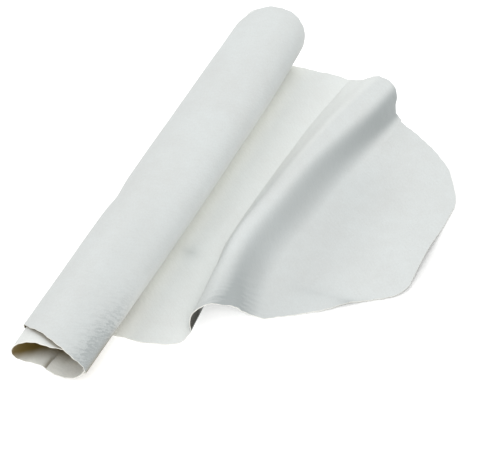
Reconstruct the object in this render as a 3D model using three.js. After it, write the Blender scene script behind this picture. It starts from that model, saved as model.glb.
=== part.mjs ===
// A chamois leather, partly rolled up. One limp hide: its left end is wound into a tube of two turns,
// and its free end runs out from under the tube to the right, over one raised fold, to a rounded far end.
// Each node is a stretch of that hide, parted from the next one at a line where the leather bends.
// Millimetres. X runs from the roll to the far end, Y along the roll, Z up from the surface it lies on.

import * as THREE from "three";

const { clamp, degToRad, lerp, radToDeg, smoothstep } = THREE.MathUtils;

// Driving dimensions: the leather
const LEATHER_THICKNESS = 1.2;
const PARTING_GAP = 0.3;
const FRONT_END = -300;
const BACK_END = 312;

// Driving dimensions: the roll. Turn angles count clockwise from the bottom, seen from the front.
const ROLL_RADIUS = 43.2;
const SIDE_SLUMP = 2;
const FRONT_DRAW_IN = 3;
const BACK_DRAW_IN = 4.5;
const TURN_GAP = 0.8;
const LOBE_SLACK = 1.5;
const DIP_SLACK = 4;
const INNER_EDGE_ANGLE = 737;

// Driving dimensions: the flap, from the line where it lifts off to the far end
const LIFT_CLEARANCE = 11;
const FOLD_SPAN = 130;
const FOLD_HEIGHT = 38;
const FAR_FLAP_WIDTH = 111;
const EDGE_LIFT = 10;
const EDGE_LIFT_MIDDLE = 58;
const EDGE_LIFT_REACH = 72;
const EDGE_LIFT_WIDTH = 96;

// Driving dimensions: widths of the flat strips on either side of the fold, from its front to its back
const NEAR_FLAP_WIDTH = { front: 56, tuck: 47, turn: 33, waist: 24.5, rear: 32, back: 45.5 };
const TOE_WIDTH = { front: 17, widest: 20, middle: 11, waist: 5, back: 8 };

// Driving dimensions: how far in from the two ends the cut edges lie, where one stretch meets the next
const FRONT_CUT = { underRoll: 89, liftLine: 112, leftFoot: 150, farLine: 212 };
const BACK_CUT = { underRoll: 12, liftLine: 6, leftFoot: 4, farLine: 49 };

// Steps of the faceted sheets
const DEGREES_PER_STEP = 10;
const ROLL_ROWS = 10;
const STRIP_STEPS = 6;
const NEAR_FLAP_STEPS = 6;
const FOLD_STEPS_PER_SIDE = 10;
const TOE_STEPS = 2;
const FAR_FLAP_STEPS = 10;
const FLAP_ROWS = 18;
const TANGENT_STEP = 0.01;

// What follows from them
const FULL_TURN = 360;
const MID_RADIUS = ROLL_RADIUS - LEATHER_THICKNESS / 2;
const TURN_PITCH = LEATHER_THICKNESS + TURN_GAP;
const FLOOR_LEVEL = LEATHER_THICKNESS / 2;
const LIFT_LINE = ROLL_RADIUS + SIDE_SLUMP + LIFT_CLEARANCE;
const FAR_LINE = LIFT_LINE + FOLD_SPAN;
const FAR_EDGE = FAR_LINE + FAR_FLAP_WIDTH;
const HIDE_WIDTH = BACK_END - FRONT_END;
const HALF_GAP = PARTING_GAP / 2;
const FOOT_GAP = PARTING_GAP + LEATHER_THICKNESS / 2;

// Places across the fold: its left foot, its crest, its right foot and the end of the flat toe beside it
const LEFT_FOOT = 0;
const CREST = 0.5;
const RIGHT_FOOT = 1;
const TOE_END = 1.2;

/** A smooth function through stations [place, value] that never overshoots them. */
function smoothThrough(stations) {
  const last = stations.length - 1;
  const steps = stations.slice(1).map(([place, value], i) => {
    const [placeBefore, valueBefore] = stations[i];
    return (value - valueBefore) / (place - placeBefore);
  });
  const slopes = stations.map((_, i) => {
    if (i === 0) return steps[0];
    if (i === last) return steps[last - 1];
    const product = steps[i - 1] * steps[i];
    return product > 0 ? (2 * product) / (steps[i - 1] + steps[i]) : 0;
  });
  return (place) => {
    const ahead = stations.findIndex(([station]) => station > place);
    const right = ahead < 0 ? last : Math.max(ahead, 1);
    const [from, start] = stations[right - 1];
    const [to, end] = stations[right];
    const run = to - from;
    const t = clamp((place - from) / run, 0, 1);
    const s = 1 - t;
    const ends = start * s * s * (1 + 2 * t) + end * t * t * (1 + 2 * s);
    return ends + run * t * s * (slopes[right - 1] * s - slopes[right] * t);
  };
}

// The cut edges of the hide, as distances in from its front and back ends. In the roll they go by turn
// angle, across the fold by its places above, and across the flat stretches by shares of their width.

const frontOfRoll = smoothThrough([
  [0, FRONT_CUT.underRoll],
  [60, 58],
  [117, 33],
  [160, 16],
  [215, 7],
  [280, 22],
  [315, 34],
  [385, 31],
  [445, 7],
  [490, 0],
  [555, 4],
  [640, 28],
  [720, 35],
]);
const backOfRoll = smoothThrough([
  [0, BACK_CUT.underRoll],
  [117, 34],
  [180, 9],
  [245, 0],
  [360, 9],
  [720, 11],
]);
const frontOfStrip = smoothThrough([
  [0, FRONT_CUT.underRoll],
  [0.55, 110],
  [1, FRONT_CUT.liftLine],
]);
const backOfStrip = smoothThrough([
  [0, BACK_CUT.underRoll],
  [1, BACK_CUT.liftLine],
]);
const frontOfNearFlap = smoothThrough([
  [0, FRONT_CUT.liftLine],
  [0.56, 120],
  [0.82, 128],
  [0.93, 137],
  [1, FRONT_CUT.leftFoot],
]);
const backOfNearFlap = smoothThrough([
  [0, BACK_CUT.liftLine],
  [1, BACK_CUT.leftFoot],
]);
const frontOfFold = smoothThrough([
  [LEFT_FOOT, FRONT_CUT.leftFoot],
  [0.3, 160],
  [CREST, 172],
  [0.75, 189],
  [RIGHT_FOOT, 201],
  [TOE_END, FRONT_CUT.farLine],
]);
const backOfFold = smoothThrough([
  [LEFT_FOOT, BACK_CUT.leftFoot],
  [0.2, 20.5],
  [CREST, 22.5],
  [0.7, 32],
  [0.9, 44],
  [RIGHT_FOOT, 45],
  [TOE_END, BACK_CUT.farLine],
]);
const frontOfFarFlap = smoothThrough([
  [0, FRONT_CUT.farLine],
  [0.3, 236],
  [0.55, 262],
  [0.86, 288],
  [0.96, 300],
  [1, 312],
]);
const backOfFarFlap = smoothThrough([
  [0, BACK_CUT.farLine],
  [0.38, 72],
  [0.71, 100],
  [0.88, 127],
  [0.97, 147],
  [1, 160],
]);

// The roll

/** How far the first two turns lie in from the outermost leather, by turn angle. */
const looseInset = smoothThrough([
  [0, 0],
  [285, 0],
  [FULL_TURN, TURN_PITCH],
  [450, TURN_PITCH + LOBE_SLACK],
  [500, TURN_PITCH + (LOBE_SLACK + DIP_SLACK) / 3],
  [550, TURN_PITCH + DIP_SLACK],
  [585, TURN_PITCH + TURN_GAP / 2],
  [650, TURN_PITCH + TURN_GAP / 2],
  [2 * FULL_TURN, 2 * TURN_PITCH],
]);

/** From the third turn on, the leather lies one pitch inside the turn before it. */
function insetAt(angle) {
  return angle > 2 * FULL_TURN ? insetAt(angle - FULL_TURN) + TURN_PITCH : looseInset(angle);
}

/** How far the right side of the roll sags out, by the share of the hide's width from front to back. */
const slumpAt = smoothThrough([
  [0, -FRONT_DRAW_IN],
  [0.5, SIDE_SLUMP],
  [0.8, SIDE_SLUMP / 2],
  [1, -BACK_DRAW_IN],
]);

const shareAlong = (y) => (y - FRONT_END) / HIDE_WIDTH;

function rollPoint(angle, y) {
  const turn = degToRad(angle);
  const radius = MID_RADIUS - insetAt(angle);
  const towardsRight = Math.max(-Math.sin(turn), 0);
  const side = 1 + (towardsRight * slumpAt(shareAlong(y))) / MID_RADIUS;
  const height = MID_RADIUS - radius * Math.cos(turn);
  return new THREE.Vector2(-side * radius * Math.sin(turn), FLOOR_LEVEL + height);
}

// The flap. The lines below go by the share of the hide's width from front to back.

/** Width of the near flap, from the lift line to the fold's left foot. */
const nearFlapWidth = smoothThrough([
  [0.18, NEAR_FLAP_WIDTH.front],
  [0.24, NEAR_FLAP_WIDTH.tuck],
  [0.31, NEAR_FLAP_WIDTH.turn],
  [0.49, NEAR_FLAP_WIDTH.waist],
  [0.8, NEAR_FLAP_WIDTH.rear],
  [1, NEAR_FLAP_WIDTH.back],
]);

/** Width of the flat toe between the fold's right foot and the far line. */
const toeWidth = smoothThrough([
  [0.33, TOE_WIDTH.front],
  [0.4, TOE_WIDTH.widest],
  [0.56, TOE_WIDTH.middle],
  [0.8, TOE_WIDTH.waist],
  [0.94, TOE_WIDTH.back],
]);

/** Where the crest stands between the two feet, and how far it drops towards the front. */
const crestShare = smoothThrough([
  [0.27, 0.235],
  [0.45, 0.235],
  [0.6, 0.325],
  [0.8, 0.43],
  [0.95, 0.6],
]);
const crestDrop = smoothThrough([
  [0.27, 7],
  [0.55, 4],
  [0.75, 2],
  [0.92, 0],
]);

/** The slopes at which the two sides leave the surface, in degrees. */
const leftSlope = smoothThrough([
  [0.25, 88],
  [0.36, 72],
  [0.5, 60],
  [0.95, 42],
]);
const rightSlope = smoothThrough([
  [0.7, 4],
  [0.8, 16],
  [0.87, 45],
  [0.94, 92],
]);

/** How straight each side leaves its foot, and how flat it comes onto the crest, as shares of its run. */
const LEFT_FOOT_HOLD = 0.82;
const rightFootHold = smoothThrough([
  [0.3, 0.72],
  [0.65, 0.68],
  [0.94, 0.52],
]);
const leftCrestHold = smoothThrough([
  [0.25, 0.75],
  [0.5, 0.45],
  [0.95, 0.3],
]);
const rightCrestHold = smoothThrough([
  [0.27, 0.24],
  [0.6, 0.28],
  [0.95, 0.95],
]);

const flat = (x) => new THREE.Vector2(x, FLOOR_LEVEL);

const flatBetween = (from, to, share) => flat(lerp(from, to, share));

const leftFootLine = (y) => LIFT_LINE + nearFlapWidth(shareAlong(y));

const stripPoint = (share) => flatBetween(HALF_GAP, LIFT_LINE - HALF_GAP, share);

const nearFlapPoint = (share, y) => flatBetween(LIFT_LINE + HALF_GAP, leftFootLine(y) - FOOT_GAP, share);

/** One side of the fold, from its foot to its crest, as a curve that leaves the foot at a slope. */
function foldSide(foot, crest, slope, footHold, crestHold) {
  const run = crest.x - foot.x;
  const rise = crest.y - foot.y;
  const angle = degToRad(slope);
  const handle = new THREE.Vector2(Math.sign(run) * Math.cos(angle), Math.sin(angle));
  const reach = footHold * Math.hypot(run * handle.x, rise * handle.y);
  const fromFoot = foot.clone().addScaledVector(handle, reach);
  const beforeCrest = new THREE.Vector2(crest.x - crestHold * run, crest.y);
  return new THREE.CubicBezierCurve(foot, fromFoot, beforeCrest, crest);
}

function foldPoint(place, y) {
  const along = shareAlong(y);
  const left = flat(leftFootLine(y));
  const right = flat(FAR_LINE - toeWidth(along));
  if (place > RIGHT_FOOT) {
    return flatBetween(right.x, FAR_LINE - HALF_GAP, (place - RIGHT_FOOT) / (TOE_END - RIGHT_FOOT));
  }
  const crest = flatBetween(left.x, right.x, crestShare(along));
  crest.y += FOLD_HEIGHT - LEATHER_THICKNESS - crestDrop(along);
  if (place <= CREST) {
    const side = foldSide(left, crest, leftSlope(along), LEFT_FOOT_HOLD, leftCrestHold(along));
    return side.getPoint((place - LEFT_FOOT) / (CREST - LEFT_FOOT));
  }
  const side = foldSide(right, crest, rightSlope(along), rightFootHold(along), rightCrestHold(along));
  return side.getPoint((RIGHT_FOOT - place) / (RIGHT_FOOT - CREST));
}

/** The far flap lies flat, but for a stretch of its far edge that stands off the surface. */
function farFlapPoint(share, y) {
  const point = flatBetween(FAR_LINE + HALF_GAP, FAR_EDGE, share);
  const offMiddle = clamp((y - EDGE_LIFT_MIDDLE) / EDGE_LIFT_REACH, -1, 1);
  const alongEdge = Math.cos((offMiddle * Math.PI) / 2) ** 2;
  const towardsEdge = smoothstep(point.x, FAR_EDGE - EDGE_LIFT_WIDTH, FAR_EDGE);
  point.y += EDGE_LIFT * alongEdge * towardsEdge;
  return point;
}

// Sheets of leather

/** Places from one end to the other in equal steps. */
function evenly(from, to, steps) {
  return Array.from({ length: steps + 1 }, (_, i) => lerp(from, to, i / steps));
}

/**
 * A closed sheet of leather. Its section at each y is pointAt(place, y), its columns stand at the given
 * places, and each column runs from the front cut edge to the back one.
 */
function sheet(places, rows, pointAt, frontCut, backCut) {
  const nudge = TANGENT_STEP * (places[1] - places[0]);
  const positions = [];
  for (const side of [1, -1]) {
    for (const place of places) {
      const front = FRONT_END + frontCut(place);
      const back = BACK_END - backCut(place);
      for (const y of evenly(front, back, rows)) {
        const point = pointAt(place, y);
        const tangent = pointAt(place + nudge, y).sub(pointAt(place - nudge, y));
        const normal = new THREE.Vector2(-tangent.y, tangent.x).normalize();
        point.addScaledVector(normal, (side * LEATHER_THICKNESS) / 2);
        positions.push(point.x, y, point.y);
      }
    }
  }
  return closedGrid(positions, places.length, rows + 1);
}

/** Joins an upper and a lower grid of points, column by column, into one closed geometry. */
function closedGrid(positions, columns, rows) {
  const upper = (i, j) => i * rows + j;
  const lower = (i, j) => columns * rows + upper(i, j);
  const right = columns - 1;
  const back = rows - 1;
  const indices = [];
  const quad = (a, b, c, d) => indices.push(a, b, c, a, c, d);
  for (let i = 0; i < right; i += 1) {
    for (let j = 0; j < back; j += 1) {
      quad(upper(i, j), upper(i + 1, j), upper(i + 1, j + 1), upper(i, j + 1));
      quad(lower(i, j), lower(i, j + 1), lower(i + 1, j + 1), lower(i + 1, j));
    }
    quad(lower(i, 0), lower(i + 1, 0), upper(i + 1, 0), upper(i, 0));
    quad(lower(i + 1, back), lower(i, back), upper(i, back), upper(i + 1, back));
  }
  for (let j = 0; j < back; j += 1) {
    quad(lower(0, j + 1), lower(0, j), upper(0, j), upper(0, j + 1));
    quad(lower(right, j), lower(right, j + 1), upper(right, j + 1), upper(right, j));
  }
  const geometry = new THREE.BufferGeometry();
  geometry.setAttribute("position", new THREE.Float32BufferAttribute(positions, 3));
  geometry.setIndex(indices);
  geometry.computeVertexNormals();
  return geometry;
}

// The object

const leatherOutside = new THREE.MeshStandardMaterial({ color: 0xdcdedd, roughness: 0.9, metalness: 0 });
const leatherInside = new THREE.MeshStandardMaterial({ color: 0xd3d1c4, roughness: 0.95, metalness: 0 });

const chamois = new THREE.Group();

function addLeather(name, geometry, material) {
  const mesh = new THREE.Mesh(geometry, material);
  mesh.name = name;
  chamois.add(mesh);
}

const gapAngle = radToDeg(HALF_GAP / MID_RADIUS);
const outerSteps = Math.round(FULL_TURN / DEGREES_PER_STEP);
const innerSteps = Math.round((INNER_EDGE_ANGLE - FULL_TURN) / DEGREES_PER_STEP);
const outerAngles = evenly(FULL_TURN - gapAngle, gapAngle, outerSteps);
const innerAngles = evenly(INNER_EDGE_ANGLE, FULL_TURN + gapAngle, innerSteps);
const foldPlaces = evenly(LEFT_FOOT, RIGHT_FOOT, 2 * FOLD_STEPS_PER_SIDE);
const toePlaces = evenly(RIGHT_FOOT, TOE_END, TOE_STEPS).slice(1);

addLeather(
  "outer_turn",
  sheet(outerAngles, ROLL_ROWS, rollPoint, frontOfRoll, backOfRoll),
  leatherOutside,
);
addLeather(
  "inner_turn",
  sheet(innerAngles, ROLL_ROWS, rollPoint, frontOfRoll, backOfRoll),
  leatherInside,
);
addLeather(
  "strip_under_roll",
  sheet(evenly(0, 1, STRIP_STEPS), ROLL_ROWS, stripPoint, frontOfStrip, backOfStrip),
  leatherOutside,
);
addLeather(
  "near_flap",
  sheet(evenly(0, 1, NEAR_FLAP_STEPS), FLAP_ROWS, nearFlapPoint, frontOfNearFlap, backOfNearFlap),
  leatherOutside,
);
addLeather(
  "raised_fold",
  sheet([...foldPlaces, ...toePlaces], FLAP_ROWS, foldPoint, frontOfFold, backOfFold),
  leatherOutside,
);
addLeather(
  "far_flap",
  sheet(evenly(0, 1, FAR_FLAP_STEPS), FLAP_ROWS, farFlapPoint, frontOfFarFlap, backOfFarFlap),
  leatherOutside,
);

// The origin is under the middle of the whole hide, on the surface that it lies on.
const box = new THREE.Box3().setFromObject(chamois);
const middle = box.getCenter(new THREE.Vector3());
chamois.position.set(-middle.x, -middle.y, -box.min.z);

export default chamois;
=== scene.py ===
"""A chamois leather, partly rolled up, on a pale table.

One limp hide: its left end is wound into a tube of two turns, and its free end runs out from under the
tube, over one raised fold, to a rounded far end. It is made as two closed sheets of leather that meet in
the crease at the fold's left foot, each with a fringe of loose fibres along its cut edges.
"""

import logging
import math
from collections.abc import Callable
from dataclasses import dataclass
from enum import Enum
from typing import ClassVar, Union

import bpy
import numpy as np
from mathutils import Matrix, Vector


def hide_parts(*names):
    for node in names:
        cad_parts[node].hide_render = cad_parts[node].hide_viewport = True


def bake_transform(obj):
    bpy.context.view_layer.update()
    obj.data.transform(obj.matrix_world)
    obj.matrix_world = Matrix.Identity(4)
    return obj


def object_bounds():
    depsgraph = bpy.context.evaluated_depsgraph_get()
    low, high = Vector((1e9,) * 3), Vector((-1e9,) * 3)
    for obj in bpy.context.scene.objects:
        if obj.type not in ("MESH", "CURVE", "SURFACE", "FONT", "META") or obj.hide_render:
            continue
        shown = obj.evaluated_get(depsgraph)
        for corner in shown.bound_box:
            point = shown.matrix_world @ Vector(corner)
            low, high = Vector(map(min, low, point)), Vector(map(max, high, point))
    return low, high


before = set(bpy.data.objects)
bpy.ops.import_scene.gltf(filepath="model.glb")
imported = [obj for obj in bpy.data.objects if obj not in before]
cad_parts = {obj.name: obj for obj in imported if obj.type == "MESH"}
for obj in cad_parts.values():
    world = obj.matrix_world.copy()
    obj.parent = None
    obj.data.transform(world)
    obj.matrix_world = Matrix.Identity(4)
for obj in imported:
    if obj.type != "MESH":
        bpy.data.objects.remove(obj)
CAD_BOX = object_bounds()

MM = 0.001
FULL_TURN = 360.0

log = logging.getLogger("chamois")

Colour = tuple[float, float, float, float]
Triple = tuple[float, float, float]
Measures = dict[str, np.ndarray]
Sides = tuple[np.ndarray, np.ndarray]
Value = Union["Wire", float]

WHITE: Colour = (1.0, 1.0, 1.0, 1.0)
BLACK: Colour = (0.0, 0.0, 0.0, 1.0)


class Seam(Enum):
    """The end column of a sheet where it meets its neighbour and has no cut edge."""

    FIRST_COLUMN = "first"
    LAST_COLUMN = "last"


class Held(Enum):
    """How a sheet of the hide is held."""

    FOLDED = "folded"
    LAID = "laid"


class Body(Enum):
    """Three stretches of the hide, by name."""

    ROLL = "roll"
    FOLD = "fold"
    FAR_END = "far_end"


# Node trees


class Wire:
    """An output socket in a node tree, used in sums like a number."""

    def __init__(self, graph: "Graph", socket: bpy.types.NodeSocket) -> None:
        """Keeps the socket and its graph."""
        self.graph = graph
        self.socket = socket

    def other(self, name: str) -> "Wire":
        """Gives another output of the same node."""
        return Wire(self.graph, self.socket.node.outputs[name])

    def __add__(self, value: Value) -> "Wire":
        """Adds a value."""
        return self.graph.math("ADD", self, value)

    __radd__ = __add__

    def __sub__(self, value: Value) -> "Wire":
        """Takes a value away."""
        return self.graph.math("SUBTRACT", self, value)

    def __rsub__(self, value: Value) -> "Wire":
        """Takes this away from a value."""
        return self.graph.math("SUBTRACT", value, self)

    def __mul__(self, value: Value) -> "Wire":
        """Multiplies by a value."""
        return self.graph.math("MULTIPLY", self, value)

    def __truediv__(self, value: Value) -> "Wire":
        """Divides by a value."""
        return self.graph.math("DIVIDE", self, value)

    def __rtruediv__(self, value: Value) -> "Wire":
        """Divides a value by this."""
        return self.graph.math("DIVIDE", value, self)


class Graph:
    """Adds nodes to one tree, for a material or for a shape."""

    def __init__(self, tree: bpy.types.NodeTree) -> None:
        """Keeps the tree."""
        self.tree = tree

    def node(
        self,
        kind: str,
        settings: dict[str, object] | None = None,
        inputs: dict[str | int, object] | None = None,
        output: str | int = 0,
    ) -> Wire:
        """Adds a node.

        Args:
            kind: the node's type.
            settings: its properties, which are set first.
            inputs: the value or the wire for each input, by name or number.
            output: the output that is wanted.

        Returns:
            The wire from that output.
        """
        node = self.tree.nodes.new(kind)
        for name, value in (settings or {}).items():
            setattr(node, name, value)
        for name, value in (inputs or {}).items():
            self.join(value, node.inputs[name])
        return Wire(self, node.outputs[output])

    def join(self, value: object, socket: bpy.types.NodeSocket) -> None:
        """Links a wire to an input, or sets the input to a plain value.

        Args:
            value: the wire or the value.
            socket: the input.
        """
        if isinstance(value, Wire):
            self.tree.links.new(value.socket, socket)
        else:
            socket.default_value = value

    def math(self, operation: str, first: Value, second: Value = 0.0) -> Wire:
        """Gives one Math node's result."""
        return self.node("ShaderNodeMath", {"operation": operation}, {0: first, 1: second})

    def ease(self, value: Value, start: float, end: float) -> Wire:
        """Adds a smooth step.

        Args:
            value: what it goes by.
            start: where it is 0.
            end: where it is 1.

        Returns:
            The step's height.
        """
        settings = {"interpolation_type": "SMOOTHSTEP"}
        inputs = {"Value": value, "From Min": start, "From Max": end}
        return self.node("ShaderNodeMapRange", settings, inputs)

    def blend_colours(self, share: Value, first: Colour | Wire, second: Colour | Wire) -> Wire:
        """Gives a colour between two."""
        return self.node("ShaderNodeMix", {"data_type": "RGBA"}, {0: share, 6: first, 7: second}, 2)

    def stretch(self, vector: Wire, factors: Triple) -> Wire:
        """Gives a vector with its parts multiplied."""
        return self.node("ShaderNodeVectorMath", {"operation": "MULTIPLY"}, {0: vector, 1: factors})

    def noise(self, vector: Wire, size: Value, detail: float = 2.0) -> Wire:
        """Gives soft noise from 0 to 1.

        Args:
            vector: the place, in metres.
            size: the size of its patches, in metres.
            detail: how many finer layers it has.

        Returns:
            The noise.
        """
        inputs = {"Vector": vector, "Scale": 1 / size, "Detail": detail}
        return self.node("ShaderNodeTexNoise", None, inputs)

    def set_shader(self, looks: dict[str, object]) -> None:
        """Links or sets inputs of a material's main shader.

        Args:
            looks: the wire or the value for each input, by name.
        """
        shader = self.tree.nodes["Principled BSDF"]
        for name, value in looks.items():
            self.join(value, shader.inputs[name])


def new_material(name: str) -> tuple[bpy.types.Material, Graph]:
    """Starts a material.

    Args:
        name: the material's name.

    Returns:
        The material and its graph.
    """
    material = bpy.data.materials.new(name)
    material.use_nodes = True
    return material, Graph(material.node_tree)


class Recipe:
    """A Geometry Nodes tree with named inputs, which is run once and kept as a plain mesh."""

    def __init__(self, name: str, inputs: dict[str, str]) -> None:
        """Starts the tree.

        Args:
            name: the tree's name.
            inputs: the socket type of each input, by name.
        """
        self.tree = bpy.data.node_groups.new(name, "GeometryNodeTree")
        self.graph = Graph(self.tree)
        for label, kind in {"Geometry": "NodeSocketGeometry", **inputs}.items():
            self.tree.interface.new_socket(label, in_out="INPUT", socket_type=kind)
        self.tree.interface.new_socket("Geometry", in_out="OUTPUT", socket_type="NodeSocketGeometry")
        self.entry = self.tree.nodes.new("NodeGroupInput")

    def input(self, name: str) -> Wire:
        """Gives the wire of a named input."""
        return Wire(self.graph, self.entry.outputs[name])

    def stored(self, name: str) -> Wire:
        """Gives a number that the mesh carries."""
        return self.graph.node("GeometryNodeInputNamedAttribute", {"data_type": "FLOAT"}, {"Name": name})

    def close(self, geometry: Wire, finish: Wire) -> None:
        """Realizes the result, gives it its material and ends the tree.

        Args:
            geometry: the result.
            finish: the material.
        """
        real = self.graph.node("GeometryNodeRealizeInstances", None, {"Geometry": geometry})
        dressed = self.graph.node("GeometryNodeSetMaterial", None, {"Geometry": real, "Material": finish})
        leave = self.tree.nodes.new("NodeGroupOutput")
        self.graph.join(dressed, leave.inputs["Geometry"])

    def bake(self, piece: bpy.types.Object, values: dict[str, object], name: str) -> bpy.types.Mesh:
        """Runs the tree on an object.

        Args:
            piece: the object whose mesh goes in.
            values: a value for each named input.
            name: the new mesh's name.

        Returns:
            The result as a plain mesh.
        """
        modifier = piece.modifiers.new(self.tree.name, "NODES")
        modifier.node_group = self.tree
        for item in self.tree.interface.items_tree:
            if item.in_out == "INPUT" and item.name in values:
                modifier[item.identifier] = values[item.name]
        depsgraph = bpy.context.evaluated_depsgraph_get()
        evaluated = piece.evaluated_get(depsgraph)
        mesh = bpy.data.meshes.new_from_object(
            evaluated, preserve_all_data_layers=True, depsgraph=depsgraph
        )
        mesh.name = name
        piece.modifiers.remove(modifier)
        return mesh


# Lines and grids


class SmoothLine:
    """A smooth line through stations that never overshoots them."""

    def __init__(self, *stations: tuple[float, float]) -> None:
        """Works out the slopes at the stations, each a place and a value."""
        self.places, self.values = np.array(stations, float).T
        steps = np.diff(self.values) / np.diff(self.places)
        before, after = steps[:-1], steps[1:]
        same_way = before * after > 0
        total = np.where(same_way, before + after, 1.0)
        inner = np.where(same_way, 2 * before * after / total, 0.0)
        self.slopes = np.concatenate([steps[:1], inner, steps[-1:]])

    def __call__(self, place: np.ndarray) -> np.ndarray:
        """Follows the line.

        Args:
            place: the places along it.

        Returns:
            The value at each place.
        """
        right = np.clip(np.searchsorted(self.places, place, side="right"), 1, len(self.places) - 1)
        left = right - 1
        run = self.places[right] - self.places[left]
        t = np.clip((place - self.places[left]) / run, 0, 1)
        s = 1 - t
        ends = self.values[left] * s * s * (1 + 2 * t) + self.values[right] * t * t * (1 + 2 * s)
        return ends + run * t * s * (self.slopes[left] * s - self.slopes[right] * t)


@dataclass(frozen=True)
class Rise:
    """A smooth step from 0 at its start to 1 at its end, which may lie on either side of it."""

    start: float
    end: float

    def __call__(self, value: np.ndarray) -> np.ndarray:
        """Gives the step's height at each value."""
        t = np.clip((value - self.start) / (self.end - self.start), 0, 1)
        return t * t * (3 - 2 * t)


@dataclass(frozen=True)
class Bell:
    """A bell that is 1 at its middle and falls away over its reach."""

    middle: float
    reach: float

    def __call__(self, value: np.ndarray) -> np.ndarray:
        """Gives the bell's height at each value."""
        return np.exp(-(((value - self.middle) / self.reach) ** 2))


@dataclass(frozen=True)
class Fade:
    """A share that is 1 at 0 and dies away over its reach."""

    reach: float

    def __call__(self, value: np.ndarray) -> np.ndarray:
        """Gives the share at each value."""
        return np.exp(-value / self.reach)


def as_it_is(value: np.ndarray) -> np.ndarray:
    """Gives the value itself as the share."""
    return value


class Patch:
    """A soft patch of tone or form: its strength, and how it comes and goes by the measures of a point."""

    def __init__(self, strength: float, **shapes: Callable[[np.ndarray], np.ndarray]) -> None:
        """Keeps the strength, and a shape for each measure that the patch goes by."""
        self.strength = strength
        self.shapes = shapes

    def __call__(self, measures: Measures) -> np.ndarray:
        """Works out the patch.

        Args:
            measures: what it goes by at each point.

        Returns:
            Its strength there.
        """
        strength = self.strength
        for name, shape in self.shapes.items():
            strength = strength * shape(measures[name])
        return strength


def add_up(patches: dict[str, Patch], measures: Measures) -> np.ndarray:
    """Gives the strength of all the named patches together at each point."""
    return sum(patch(measures) for patch in patches.values())


def closed_sheet(name: str, upper: np.ndarray, lower: np.ndarray, seam: Seam) -> bpy.types.Mesh:
    """Joins an upper and a lower grid of points into one closed sheet.

    Args:
        name: the mesh's name.
        upper: points of the upper side in metres, as columns by rows by three.
        lower: points of the lower side, in the same order.
        seam: the end column that meets a neighbour.

    Returns:
        The mesh, with a face attribute cut_edge that is 1 on its cut rim.
    """
    columns, rows = upper.shape[:2]
    above = np.arange(columns * rows).reshape(columns, rows)
    below = above + columns * rows
    top = np.stack([above[:-1, :-1], above[1:, :-1], above[1:, 1:], above[:-1, 1:]], -1).reshape(-1, 4)
    bottom = np.stack([below[:-1, :-1], below[:-1, 1:], below[1:, 1:], below[1:, :-1]], -1).reshape(-1, 4)
    rim_from = np.concatenate([above[:-1, 0], above[-1, :-1], above[:0:-1, -1], above[0, :0:-1]])
    rim_to = np.roll(rim_from, -1)
    rim = np.stack([rim_from + columns * rows, rim_to + columns * rows, rim_to, rim_from], -1)
    seam_column = above[0] if seam is Seam.FIRST_COLUMN else above[-1]
    on_seam = np.isin(rim_from, seam_column) & np.isin(rim_to, seam_column)
    mesh = bpy.data.meshes.new(name)
    points = np.concatenate([upper.reshape(-1, 3), lower.reshape(-1, 3)])
    mesh.from_pydata(points.tolist(), [], np.concatenate([top, bottom, rim]).tolist())
    is_cut = np.concatenate([np.zeros(len(top) + len(bottom)), ~on_seam])
    mesh.attributes.new("cut_edge", "FLOAT", "FACE").data.foreach_set("value", is_cut.astype(np.float32))
    return mesh


def store(mesh: bpy.types.Mesh, name: str, upper: np.ndarray, lower: np.ndarray) -> None:
    """Keeps a number for each point of a closed sheet.

    Args:
        mesh: the sheet.
        name: the attribute's name.
        upper: the numbers of the upper side, as columns by rows.
        lower: the numbers of the lower side.
    """
    numbers = np.concatenate([upper.ravel(), lower.ravel()]).astype(np.float32)
    mesh.attributes.new(name, "FLOAT", "POINT").data.foreach_set("value", numbers)


def store_flat_place(mesh: bpy.types.Mesh, across: np.ndarray, along: np.ndarray, depth: float) -> None:
    """Keeps where each point lies on the hide spread flat, in metres, for its grain to follow.

    Args:
        mesh: the sheet.
        across: each point's place across the roll, in millimetres.
        along: its place along the roll.
        depth: how far apart the two sides are kept, so that their grain differs.
    """
    sides = [np.stack([across, along, np.full_like(across, z)], -1).reshape(-1, 3) for z in (0.0, depth)]
    places = (np.concatenate(sides) * MM).astype(np.float32)
    mesh.attributes.new("flat_place", "FLOAT_VECTOR", "POINT").data.foreach_set("vector", places.ravel())


def show(name: str, mesh: bpy.types.Mesh) -> bpy.types.Object:
    """Puts a mesh into the scene.

    Args:
        name: the object's name.
        mesh: the mesh.

    Returns:
        The object, at the origin.
    """
    piece = bpy.data.objects.new(name, mesh)
    bpy.context.scene.collection.objects.link(piece)
    return piece


# The hide, in millimetres, with x from the roll to the far end, y along the roll and z up


@dataclass(frozen=True)
class Hide:
    """The leather itself, its two ends and the mark across it from when it lay folded in two."""

    thickness: float = 1.2
    front_end: float = -300.0
    back_end: float = 312.0
    bend_width: float = 24.0
    mark_line: float = -41.0
    mark_reach: float = 8.0
    mark_sway: float = 2.0
    mark_sway_length: float = 17.0
    # Painted light beside the seam between the two sheets.
    seam_painted_light: float = 0.24
    grain: float = 0.06
    # Brown painted shade on the lower side of the leather.
    underside_painted_shade: float = 0.1
    lower_side_depth: float = 40.0
    rim_angle: float = 60.0
    rows: int = 160
    row_crowding: float = 0.6

    @property
    def floor_level(self) -> float:
        """Height of the middle of leather that lies flat."""
        return self.thickness / 2

    def share_along(self, y: np.ndarray) -> np.ndarray:
        """Gives the share of the way from the front end to the back end."""
        return (y - self.front_end) / (self.back_end - self.front_end)

    def mark(self, y: np.ndarray, sway: np.ndarray) -> np.ndarray:
        """Gives how near each point is to the fold mark, which sways a little as it crosses the hide."""
        off = np.abs(y - self.mark_line - self.mark_sway * np.sin(sway / self.mark_sway_length))
        return np.exp(-off / self.mark_reach)


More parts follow.
